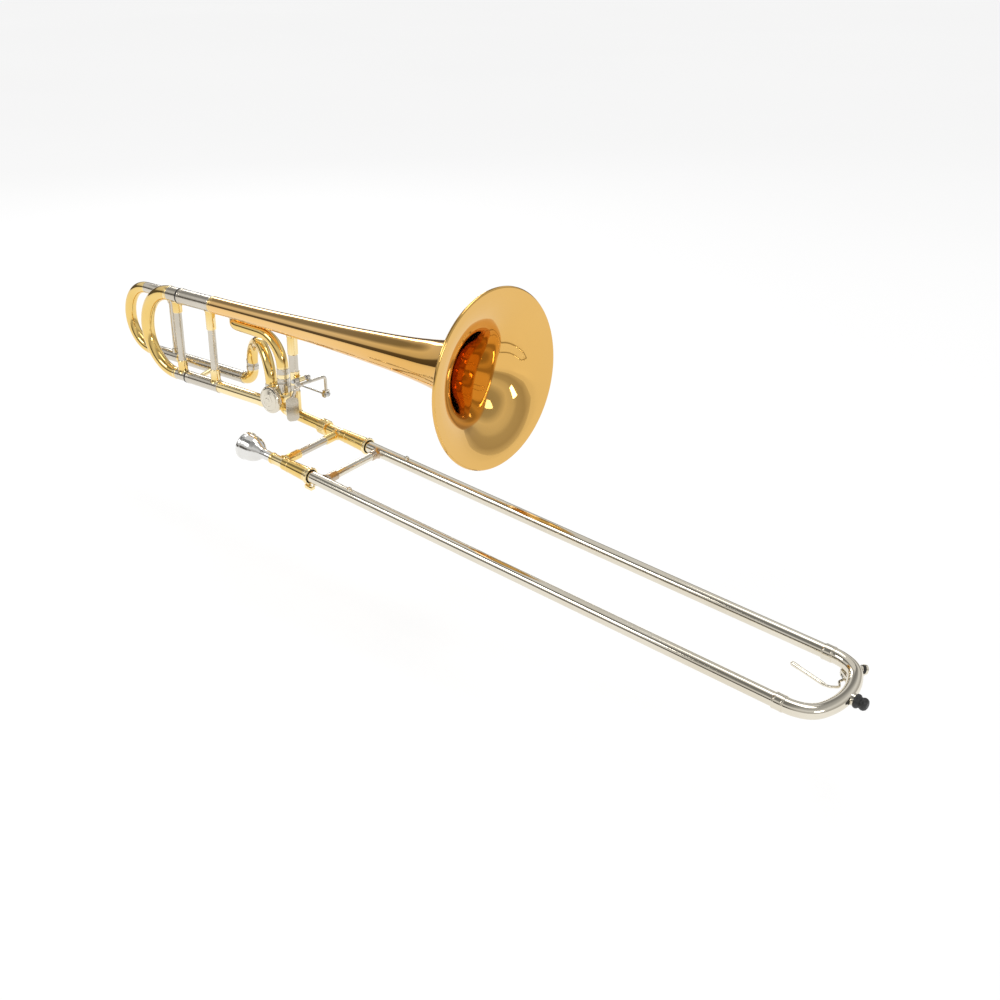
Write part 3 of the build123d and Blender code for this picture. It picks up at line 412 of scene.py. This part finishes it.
def sleeve(bm, origin, axis, a, b, r, lip=0.35):
    """Soldered ferrule: a thin sleeve with a rounded lip at each end."""
    lathe(bm, [(a, r - 0.3), (a, r + lip * 0.6), (a + 0.5, r + lip), (a + 1.6, r + lip), (a + 2.1, r + 0.12),
               (b - 2.1, r + 0.12), (b - 1.6, r + lip), (b - 0.5, r + lip), (b, r + lip * 0.6), (b, r - 0.3)], origin, axis, 96)


Z = (0, 0, 1)
bm = bmesh.new()
sleeve(bm, Vector((-481.8, 36.0, 0)) * MM, Z, -90.0, -80.5, 8.1)
sleeve(bm, Vector((-375.6, 0, 0)) * MM, Z, -84.4, -77.0, 8.1)
sleeve(bm, Vector((-375.6, 0, 0)) * MM, Z, -71.5, -63.5, 8.06, 0.22)
add("f_tube_ferrules", bm, NICKEL_SILVER, "bell_section", "nickel_silver")
bm = bmesh.new()
for o in (FU, FL):
    lathe(bm, [(-713.0, 8.1), (-713.0, 8.42), (-712.4, 8.5), (-648.5, 8.5), (-648.0, 8.42), (-648.0, 8.1)], o, X, 96)
add("f_crook_leg_skins", bm, NICKEL_SILVER, "f_tuning_slide", "nickel_silver")

# water key: the finger bar of the lever, a fuller round bar than the wire that carries it
KH = math.radians(36.0)
KX = 857.5 + 44.9 * math.sin(math.radians(25)) + 28 * (math.sin(KH) - math.sin(math.radians(25)))
KT = 44.9 * (1 - math.cos(math.radians(25))) + 28 * (math.cos(math.radians(25)) - math.cos(KH))


def kp(x, y, z):
    return sp(KX + x * math.cos(KH) + y * math.sin(KH), KT + x * math.sin(KH) - y * math.cos(KH), z)


a, b = kp(15.6, -36.4, -3.35), kp(-23.4, -54.1, -2.5)
L = (b - a).length / MM
bm = bmesh.new()
lathe(bm, [(0.0, 0.0), (0.25, 1.2), (1.2, 1.75), (3.5, 2.05), (10.0, 2.15), (L - 9.0, 2.2), (L - 4.0, 2.55),
           (L - 1.6, 2.6), (L - 0.5, 2.0), (L, 0.0)], a, b - a, 48)
add("water_key_finger_bar", bm, PLATE, "water_key", "nickel_plate")

# dark rings inside the barrel mouths: painted shade standing in for the shadow in the gap between inner tube and barrel
bm = bmesh.new()
for o in (far, near):
    lathe(bm, [(180.5, 8.1), (180.5, 8.9), (187.4, 9.05), (187.7, 8.7), (187.7, 8.1), (187.0, 8.02), (181.0, 8.02)], o, SU, 96)
# painted shade: black rings in place of the shadowed gap in each barrel mouth
add("barrel_mouth_painted_shade_rings", bm, PAD_AND_SHADE, "inner_slide", "black_cork")

# valve cap: turned rings, a knurled edge and a plain rosette
VO = Vector((-388.0, 0, -107.7)) * MM
bm = bmesh.new()
lathe(bm, [(-12.2, 18.40), (-12.6, 18.72), (-15.6, 18.72), (-16.0, 18.40), (-16.0, 18.2), (-12.2, 18.2)], VO, (0, 1, 0), 288,
      wave=lambda a, g: 0.14 * math.cos(72 * g))
for r0, y0 in ((14.6, -18.42), (8.2, -19.80)):
    pts = [(y0 + 0.35 * math.cos(q), r0 + 0.55 * math.sin(q)) for q in [2 * math.pi * k / 12 for k in range(12)]]
    lathe(bm, pts, VO, (0, 1, 0), 192)
pts = [(-19.6, 0.0), (-20.55, 0.0), (-20.8, 1.6), (-20.75, 3.4), (-20.35, 4.3), (-19.8, 4.4)]
lathe(bm, pts, VO, (0, 1, 0), 120, wave=lambda a, g: 0.35 * math.cos(8 * g) if a < -20.2 else 0.0)
add("cap_turning", bm, PLATE, "bell_section", "nickel_silver")

# ------------------------------------------------------------------ floor and light
low = cad_box[0][2]
me = bpy.data.meshes.new("floor")
bm = bmesh.new()
bmesh.ops.create_grid(bm, x_segments=8, y_segments=8, size=30.0)
bm.to_mesh(me)
bm.free()
floor = bpy.data.objects.new("floor", me)
floor.location = (0, 0, low - 0.115)  # clear of the slide at its lowest, fully out and turned
scene.collection.objects.link(floor)
fm, nt, b, tc = nodes_of("pale_floor")
nt.links.new(ramp(nt, noise(nt, tc.outputs["Object"], 0.4, 2.0), [(0.3, (0.34, 0.34, 0.34)), (0.7, (0.36, 0.36, 0.36))]), b.inputs["Base Color"])
b.inputs["Emission Color"].default_value = (1, 1, 1, 1)
b.inputs["Emission Strength"].default_value = 0.73
b.inputs["Roughness"].default_value = 0.9
b.inputs["Specular IOR Level"].default_value = 0.0
me.materials.append(fm)


def area(name, loc, target, size, power, size_y=None, color=(1, 1, 1)):
    l = bpy.data.lights.new(name, "AREA")
    l.energy = power
    l.size = size
    if size_y:
        l.shape = "RECTANGLE"
        l.size_y = size_y
    l.color = color
    o = bpy.data.objects.new(name, l)
    o.location = loc
    d = Vector(target) - Vector(loc)
    o.rotation_euler = d.to_track_quat("-Z", "Y").to_euler()
    scene.collection.objects.link(o)
    return o


area("key", (-1.6, -2.4, 2.2), (-0.2, 0, -0.1), 1.3, 21, 0.9)
area("top", (0.3, 0.5, 3.0), (0, 0, 0), 2.2, 20, 1.0)
area("side", (2.8, -0.9, 0.9), (0, 0, 0), 1.2, 10, 0.35)
area("rim", (-2.4, 1.6, 1.3), (-0.3, 0, 0), 1.0, 9, 0.4)

sun = bpy.data.lights.new("fill", "SUN")
sun.energy = 0.30
sun.angle = math.radians(50)
sun_ob = bpy.data.objects.new("fill", sun)
sun_ob.rotation_euler = (math.radians(-14), math.radians(-22), 0)
scene.collection.objects.link(sun_ob)

world = bpy.data.worlds.new("studio")
world.use_nodes = True
nt = world.node_tree
nt.nodes.clear()
wo = nt.nodes.new("ShaderNodeOutputWorld")
bg = nt.nodes.new("ShaderNodeBackground")
nt.links.new(bg.outputs[0], wo.inputs[0])
tc = nt.nodes.new("ShaderNodeTexCoord")
sep = nt.nodes.new("ShaderNodeSeparateXYZ")
nt.links.new(tc.outputs["Generated"], sep.inputs[0])
col = ramp(nt, remap(nt, sep.outputs[2], -0.1, 1.0, 0.0, 1.0),
           [(0.0, (0.85, 0.85, 0.85)), (0.085, (0.85, 0.85, 0.85)), (0.10, (0.10, 0.088, 0.076)), (0.30, (0.15, 0.135, 0.12)),
            (0.36, (0.75, 0.75, 0.75)), (0.56, (0.95, 0.95, 0.95)), (0.66, (0.30, 0.30, 0.30)), (1.0, (0.22, 0.22, 0.22))])
calm = ramp(nt, remap(nt, sep.outputs[2], -0.1, 1.0, 0.0, 1.0),
            [(0.0, (0.85, 0.85, 0.85)), (0.09, (0.80, 0.79, 0.78)), (0.18, (0.56, 0.54, 0.52)), (0.34, (0.62, 0.61, 0.60)),
             (0.42, (0.80, 0.80, 0.80)), (0.60, (0.92, 0.92, 0.92)), (0.8, (0.55, 0.55, 0.55)), (1.0, (0.45, 0.45, 0.45))])
both = mixc(nt, remap(nt, sep.outputs[0], -0.15, 0.25, 0.0, 1.0), col, calm)
nt.links.new(both, bg.inputs[0])
bg.inputs[1].default_value = 0.84
scene.world = world
